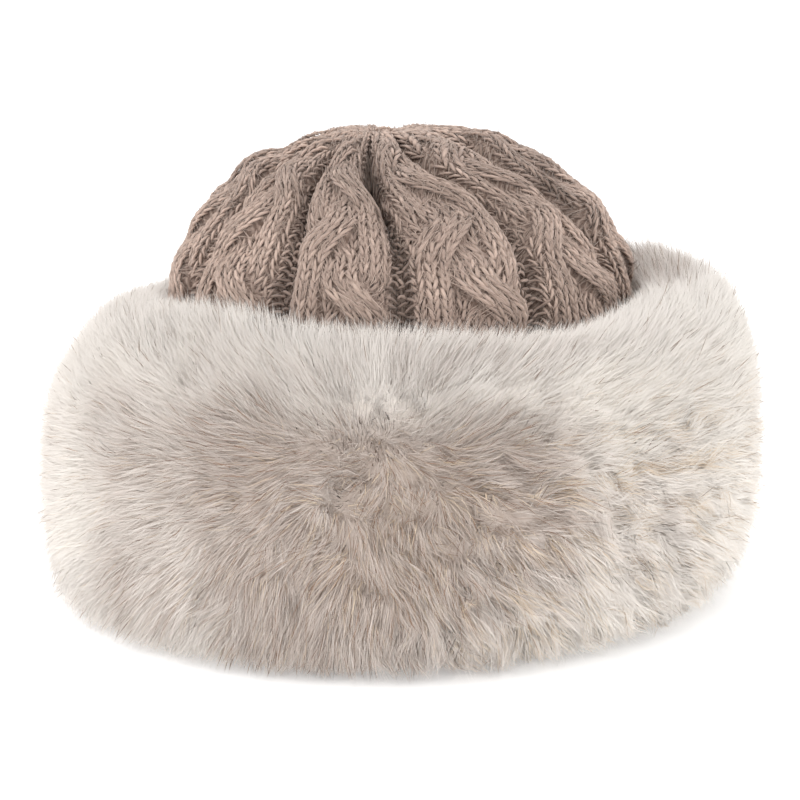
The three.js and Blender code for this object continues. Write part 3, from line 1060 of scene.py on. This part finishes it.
def grow(form, rng, count, first, sizes, length, clump, stray):
    """Hairs spread evenly over the fur's outer form, standing out of its body. length is each one's share of the
    full length, clump how far the tips gather into locks, and stray how far they scatter. Gives their angles,
    runs, spines and the way out of the fur at each."""
    turn, down = scatter(count, first)
    angle, run = turn * 2 * math.pi, down * form.run[-1]
    x = angle * FUR_REACH
    curly = curliness(angle, run, form.run[-1])
    clump = clump * (0.25 + 1.1 * curly)
    fine_x, fine_y = clump_centres(x, run, 5 * MM, 3)
    lock_x, lock_y = clump_centres(x, run, 15 * MM, 4)
    fan_x, fan_y = FUR_REACH * np.sin(angle - LAY_TURN), run - LAY_RUN
    fan = LAY_REACH / np.sqrt(fan_x**2 + fan_y**2 + LAY_CALM**2)
    tuft_x, tuft_y = clump_centres(x, run, 9 * MM, 5)
    lay_x = fan * fan_x + 1.8 * MM * waves(x, run, 34 * MM, 5) + 1.2 * MM * waves(x, run, 14 * MM, 15)
    lay_y = fan * fan_y + 1.8 * MM * waves(x, run, 30 * MM, 6) + 1.2 * MM * waves(x, run, 13 * MM, 16)
    curly = np.maximum(curly, 0.75 - 0.09 * np.hypot(fan * fan_x, fan * fan_y) / MM)
    heading = 3 * waves(tuft_x, tuft_y, 16 * MM, 18)
    lay_x += CURL_LAY * curly * np.cos(heading)
    lay_y += CURL_LAY * curly * np.sin(heading)
    goal_x = x + clump * (0.55 * fine_x + 0.45 * lock_x - x) + lay_x
    goal_y = run + clump * (0.55 * fine_y + 0.45 * lock_y - run) + lay_y
    goal = form.sample(form.tips, goal_x / FUR_REACH, np.clip(goal_y, 0, form.run[-1]))
    root = form.inside(angle, run, fill(form, sizes, angle, run) - ROOT_DEPTH)
    natural = form.sample(form.tips, angle, run)
    end = root + (goal - root) * length[:, None] + rng.normal(0, stray, (count, 3))
    bend = root + (natural - root) * 0.6 * length[:, None]
    curl = np.stack([waves(x, run, 11 * MM, seed) for seed in (7, 8, 9)], 1) * (CURL_SIZE * curly)[:, None]
    middle = 0.25 * root + 0.5 * bend + 0.25 * end + curl + rng.normal(0, 0.5 * MM, (count, 3))
    spine = np.stack([root, middle, end], 1)
    spine[:, :, 2] = np.maximum(spine[:, :, 2], GROUND_GAP)
    return angle, run, spine, natural - root


# Where the fur is darker or paler than round about: turn and reach in degrees, change of tone, the shares of the
# way from lip to foot where that sets in and is full, and how much of it goes again between two lower shares.
FUR_PATCHES = (
    # turn, reach, change, sets in, full, goes, from, to
    (-109, 9, -0.34, 0.2, 0.42, 1, 0.7, 0.9),
    (-91, 13, -0.2, 0.15, 0.24, 1, 0.24, 0.36),
    (-64, 27, -0.34, 0.22, 0.38, 0.5, 0.62, 0.8),
    (-38, 26, 0.1, 0.45, 0.7, 0, 0.9, 1),
    (-24, 11, -0.18, 0.42, 0.65, 0, 0.9, 1),
)


def zone_tone(form, angle, run):
    """The place of the fur's colour here, from taupe at about 0.25 to cream at 1, with painted light, paler towards
    the foot, and painted shade along the top rim and on the inner face of the back of the cuff.
    """
    share = run / form.run[-1]
    x = angle * FUR_REACH
    # The term on the share from 0.72 to 0.95 is painted light: paler towards the foot, where the floor lights it.
    tone = 0.85 + 0.08 * np.cos(angle) + 0.05 * smooth(share, 0.72, 0.95) + 0.05 * waves(x, run, 20 * MM, 34)
    front = smooth(np.cos(angle - math.radians(-73)), 0.82, 0.98)
    tone -= smooth(share, 0.16, 0.38) * (0.36 * front + 0.08 * waves(x, run, 70 * MM, 31))
    # Painted shade: darker along the top rim beside the crown, most towards the front right.
    painted_rim_shade = 1 - smooth(share, 0.17, 0.25)
    tone -= painted_rim_shade * (0.2 * near_turn(angle, -52, 40) + 0.03)
    # Darker on the inner face of the back of the cuff, partly as painted shade where the crown shades it and partly
    # as the taupe of the roots that show there.
    facing_front = smooth(np.sin(angle), -0.1, 0.4)  # the inner face of the back of the cuff
    tone -= 0.4 * (1 - smooth(share, 0.08, 0.2)) * facing_front
    for turn, reach, change, sets_in, full, goes, low, high in FUR_PATCHES:
        change = change * smooth(share, sets_in, full) * (1 - goes * smooth(share, low, high))
        tone += change * near_turn(angle, turn, reach)
    return tone


def pile_tone(form, angle, run, rng):
    """The place of each hair's colour: its zone's, more mixed where that is dark, with tan spots in the locks."""
    # The zone's tone holds painted light and shade as well as the fur's colours.
    zone = zone_tone(form, angle, run)
    tan = smooth(waves(angle * FUR_REACH, run, 17 * MM, 33), 0.25, 0.65) * locks(angle, run, form.run[-1])
    tone = zone + rng.normal(0, 1, len(angle)) * (0.035 + 0.135 * (1 - smooth(zone, 0.45, 0.75)))
    return np.where(rng.uniform(0, 1, len(angle)) < 0.65 * tan, TAN_TONE, np.clip(tone, TAUPE_TONE, 1))


def fill(form, sizes, angle, run):
    """How far the woolly body fills the fur here: more where the pile lies smooth and pale."""
    pale = smooth(zone_tone(form, angle, run), 0.55, 0.8) * (1 - curliness(angle, run, form.run[-1]))
    return sizes.body_share + 0.13 * pale


def body_depth(form, sizes, angle, run):
    """How far the body's slightly lumpy surface fills the fur here."""
    x = angle * FUR_REACH
    lumps = 0.02 * waves(x, run, 9 * MM, 51) + 0.02 * waves(x, run, 24 * MM, 52)
    return fill(form, sizes, angle, run) - BODY_DEPTH + lumps


class HAT_OT_fur_body(bpy.types.Operator):
    """The dense woolly body that the long hairs stand out of"""

    bl_idname = "hat.fur_body"
    bl_label = "Fur body"

    COLUMNS, ROWS = 180, 60
    OUTER_SHARE = 0.8  # of the rows lie on the outside, the others on the side towards the knitting
    PRESS = 0.5 * MM  # how far it reaches over the cuff's inner radius

    def execute(self, context):
        sizes = context.scene.hat_fur
        form = FurForm()
        mesh = bmesh.new()
        bmesh.ops.create_grid(mesh, x_segments=self.COLUMNS, y_segments=self.ROWS, size=1)
        grid = np.array([vert.co[:2] for vert in mesh.verts]) / 2 + 0.5
        # the last column lies on the first, so that the seam closes
        angle = np.rint(grid[:, 0] * self.COLUMNS) % self.COLUMNS / self.COLUMNS * 2 * math.pi
        section = grid[:, 1]
        outside = section < self.OUTER_SHARE
        run = np.clip(section / self.OUTER_SHARE, 0, 1) * form.run[-1]
        points = form.inside(angle, run, body_depth(form, sizes, angle, run))
        back = np.clip((section - self.OUTER_SHARE) / (1 - self.OUTER_SHARE), 0, 1)[:, None]
        low, high = run * 0 + form.run[-1], run * 0
        foot = form.inside(angle, low, body_depth(form, sizes, angle, low))
        lip = form.inside(angle, high, body_depth(form, sizes, angle, high))
        inner = foot * (1 - back) + lip * back
        touch = (form.inner_radius(angle) - self.PRESS)[:, None] * np.stack([np.cos(angle), np.sin(angle)], 1)
        bulge = np.sin(back * math.pi) ** 0.5
        inner[:, :2] = inner[:, :2] * (1 - bulge) + touch * bulge
        points = np.where(outside[:, None], points, inner)
        # The tone carries the zone's painted light and shade with its colours.
        tones = mesh.verts.layers.float.new("tone")
        for vert, point, tone in zip(mesh.verts, points, np.clip(zone_tone(form, angle, run), TAUPE_TONE, 1)):
            vert.co = point
            vert[tones] = tone
        settle(object_from(mesh, "fur_body", 0.02 * MM), body_material(sizes), "fur_cuff")
        return {"FINISHED"}


def body_material(sizes):
    """Pale wool, in the tints that each vertex's tone picks."""
    material, tree, shader = new_material("Woolly fur body", 1.0, 0.05, 0.3)
    lumps = new_noise(tree, tree.nodes.new("ShaderNodeTexCoord").outputs["Object"], 420, 4)
    tone = tree.nodes.new("ShaderNodeAttribute")
    tone.attribute_name = "tone"
    middle, tip = np.array(sizes.middle_colour), np.array(sizes.tip_colour)
    wool = new_ramp(tree, lumps, ((0.3, middle * 0.5 + tip * 0.5), (0.7, tip)))
    colour = new_product(tree, wool, new_ramp(tree, tone.outputs["Fac"], FUR_TINTS))
    tree.links.new(colour, shader.inputs["Base Color"])
    new_bump(tree, shader, lumps, 0.5, 1 * MM)
    return material


def fur_material(name, sizes, sheen):
    """Pale hair, taupe towards its root, tinted from tan through taupe to cream from hair to hair."""
    root, middle, tip = (np.array(c) for c in (sizes.root_colour, sizes.middle_colour, sizes.tip_colour))
    return hair_material(
        name,
        ((0.0, root), (0.3, middle), (0.65, middle * 0.25 + tip * 0.75), (1.0, tip)),
        FUR_TINTS,
        sheen,
    )


class HAT_OT_fur_pile(bpy.types.Operator):
    """The long pile, pale at its tips, shared between a few pieces"""

    bl_idname = "hat.fur_pile"
    bl_label = "Fur pile"

    def execute(self, context):
        sizes = context.scene.hat_fur
        form = FurForm()
        material = fur_material("Pale pile", sizes, 0.25)
        for number in range(sizes.pile_pieces):
            rng = np.random.default_rng(100 + number)
            count = sizes.pile_hairs
            length = np.clip(rng.normal(0.94, 0.1, count), 0.55, 1.1)
            first = number * count
            angle, run, spine, outward = grow(form, rng, count, first, sizes, length, sizes.clumping, 1.5 * MM)
            width = rng.uniform(0.12, 0.27, count) * MM
            tone = pile_tone(form, angle, run, rng)
            pale = 0.85 * smooth(tone, 0.5, 0.8) * (1 - 0.5 * np.minimum(locks(angle, run, form.run[-1]), 1))
            obj = ribbons(f"fur_pile_{number + 1}", spine, width, (1, 0.8, 0), tone, outward, rng, pale)
            settle(obj, material, "fur_cuff")
        return {"FINISHED"}


class HAT_OT_fur_undercoat(bpy.types.Operator):
    """Shorter, darker and woollier hairs between the long ones"""

    bl_idname = "hat.fur_undercoat"
    bl_label = "Fur undercoat"

    def execute(self, context):
        sizes = context.scene.hat_fur
        form = FurForm()
        rng = np.random.default_rng(41)
        count = sizes.under_hairs
        length = rng.uniform(0.35, 0.75, count)
        angle, run, spine, outward = grow(form, rng, count, 0, sizes, length, 0.5, 1.6 * MM)
        width = rng.uniform(0.35, 0.6, count) * MM
        tone = np.clip(pile_tone(form, angle, run, rng) - 0.1, 0, 1)
        obj = ribbons("fur_undercoat", spine, width, (1, 0.8, 0), tone, outward, rng, 0.8 * smooth(tone, 0.4, 0.7))
        settle(obj, fur_material("Woolly undercoat", sizes, 0.2), "fur_cuff")
        return {"FINISHED"}


class HAT_OT_fur_dark_hairs(bpy.types.Operator):
    """Fine dark tips of the guard hairs over the pale pile"""

    bl_idname = "hat.fur_dark_hairs"
    bl_label = "Dark hairs"

    def execute(self, context):
        sizes = context.scene.hat_fur
        form = FurForm()
        rng = np.random.default_rng(57)
        count = sizes.dark_hairs
        length = rng.uniform(0.9, 1.08, count)
        angle, run, spine, outward = grow(form, rng, count, 0, sizes, length, 0.2, 1.5 * MM)
        spine = np.stack([spine[:, 1], (spine[:, 1] + spine[:, 2]) / 2, spine[:, 2]], 1)
        keep = rng.uniform(0, 1, count) < 0.07 + 1.6 * np.maximum(0.62 - zone_tone(form, angle, run), 0)
        spine, outward, count = spine[keep], outward[keep], keep.sum()
        width = rng.uniform(0.14, 0.25, count) * MM
        obj = ribbons("fur_dark_hairs", spine, width, (0.6, 1, 0), rng.uniform(0, 1, count), outward, rng)
        dark = np.array(sizes.guard_colour)
        material = hair_material(
            "Dark guard hair",
            ((0.0, dark * 1.6), (0.6, dark), (1.0, dark * 1.2)),
            ((0.0, (0.75, 0.7, 0.68)), (1.0, (1.3, 1.15, 1.0))),
            0.0,
        )
        settle(obj, material, "fur_cuff")
        return {"FINISHED"}


def sun(name, towards, strength, softness):
    """Even light from one direction, as soft as a wide lamp."""
    data = bpy.data.lights.new(name, "SUN")
    data.energy = strength
    data.angle = softness
    lamp = bpy.data.objects.new(name, data)
    bpy.context.scene.collection.objects.link(lamp)
    lamp.rotation_euler = Vector(towards).to_track_quat("Z", "Y").to_euler()


class HAT_OT_studio(bpy.types.Operator):
    """A plain pale floor, soft studio light and the camera"""

    bl_idname = "hat.studio"
    bl_label = "Studio"

    FLOOR_GLOW = 0.24  # keeps the paper white under the hat
    DAYLIGHT = 1.18  # the even light from all round
    KEY, FILL = 0.88, 0.8  # the lamps, from the upper left and the right of the camera
    SENSOR = 36  # millimetres

    def execute(self, context):
        stage = context.scene.hat_stage
        scene = context.scene
        mesh = bmesh.new()
        bmesh.ops.create_circle(mesh, cap_ends=True, segments=96, radius=14)
        data = bpy.data.meshes.new("floor")
        mesh.to_mesh(data)
        mesh.free()
        floor = bpy.data.objects.new("floor", data)
        context.collection.objects.link(floor)
        material = bpy.data.materials.new("Pale paper")
        material.use_nodes = True
        shader = material.node_tree.nodes["Principled BSDF"]
        shader.inputs["Base Color"].default_value = (0.98, 0.98, 0.98, 1)
        shader.inputs["Roughness"].default_value = 0.9
        shader.inputs["Specular IOR Level"].default_value = 0.1
        shader.inputs["Emission Color"].default_value = (1, 1, 1, 1)
        shader.inputs["Emission Strength"].default_value = self.FLOOR_GLOW
        data.materials.append(material)
        world = bpy.data.worlds.new("Studio")
        scene.world = world
        world.use_nodes = True
        background = world.node_tree.nodes["Background"]
        background.inputs["Color"].default_value = (1, 1, 1, 1)
        background.inputs["Strength"].default_value = self.DAYLIGHT
        camera_data = bpy.data.cameras.new("Camera")
        camera = bpy.data.objects.new("Camera", camera_data)
        context.collection.objects.link(camera)
        a, e = stage.azimuth, stage.elevation
        back = Vector((math.sin(a) * math.cos(e), -math.cos(a) * math.cos(e), math.sin(e)))
        right = Vector((math.cos(a), math.sin(a), 0))
        target = Vector((0, 0, stage.target_height)) - right * 0.8 * MM
        camera.location = target + back * stage.distance
        camera.rotation_euler = (-back).to_track_quat("-Z", "Y").to_euler()
        camera_data.sensor_width = self.SENSOR
        camera_data.lens = self.SENSOR * stage.distance / stage.field
        camera_data.clip_start, camera_data.clip_end = 0.01, 100
        scene.camera = camera
        sun("Key", back * 0.9 - right * 1.05 + Vector((0, 0, 1.0)), self.KEY, math.radians(60))
        sun("Fill", back * 0.9 + right * 1.1 + Vector((0, 0, 0.2)), self.FILL, math.radians(80))
        scene.view_settings.view_transform = "Standard"
        return {"FINISHED"}


class HAT_PT_panel(bpy.types.Panel):
    """Lists the hat's pieces"""

    bl_idname = "HAT_PT_panel"
    bl_label = "Knitted hat"
    bl_space_type = "VIEW_3D"
    bl_region_type = "UI"
    bl_category = "Hat"

    def draw(self, context):
        for group in (context.scene.hat_knit, context.scene.hat_fur, context.scene.hat_stage):
            box = self.layout.box()
            for name in group.__annotations__:
                box.prop(group, name)
        for operator in OPERATORS:
            self.layout.operator(operator.bl_idname)


OPERATORS = (
    HAT_OT_knitted_ground,
    HAT_OT_stitches,
    HAT_OT_gather,
    HAT_OT_yarn_halo,
    HAT_OT_fur_body,
    HAT_OT_fur_undercoat,
    HAT_OT_fur_pile,
    HAT_OT_fur_dark_hairs,
    HAT_OT_studio,
)
CLASSES = (KnitSizes, FurSizes, StageSizes, *OPERATORS, HAT_PT_panel)


def register():
    for cls in CLASSES:
        bpy.utils.register_class(cls)
    bpy.types.Scene.hat_knit = PointerProperty(type=KnitSizes)
    bpy.types.Scene.hat_fur = PointerProperty(type=FurSizes)
    bpy.types.Scene.hat_stage = PointerProperty(type=StageSizes)


def unregister():
    del bpy.types.Scene.hat_stage
    del bpy.types.Scene.hat_fur
    del bpy.types.Scene.hat_knit
    for cls in reversed(CLASSES):
        bpy.utils.unregister_class(cls)


def main():
    register()
    bpy.ops.hat.knitted_ground()
    bpy.ops.hat.stitches()
    bpy.ops.hat.gather()
    bpy.ops.hat.yarn_halo()
    bpy.ops.hat.fur_body()
    bpy.ops.hat.fur_undercoat()
    bpy.ops.hat.fur_pile()
    bpy.ops.hat.fur_dark_hairs()
    bpy.ops.hat.studio()
    bpy.context.view_layer.update()


if __name__ == "__main__":
    main()
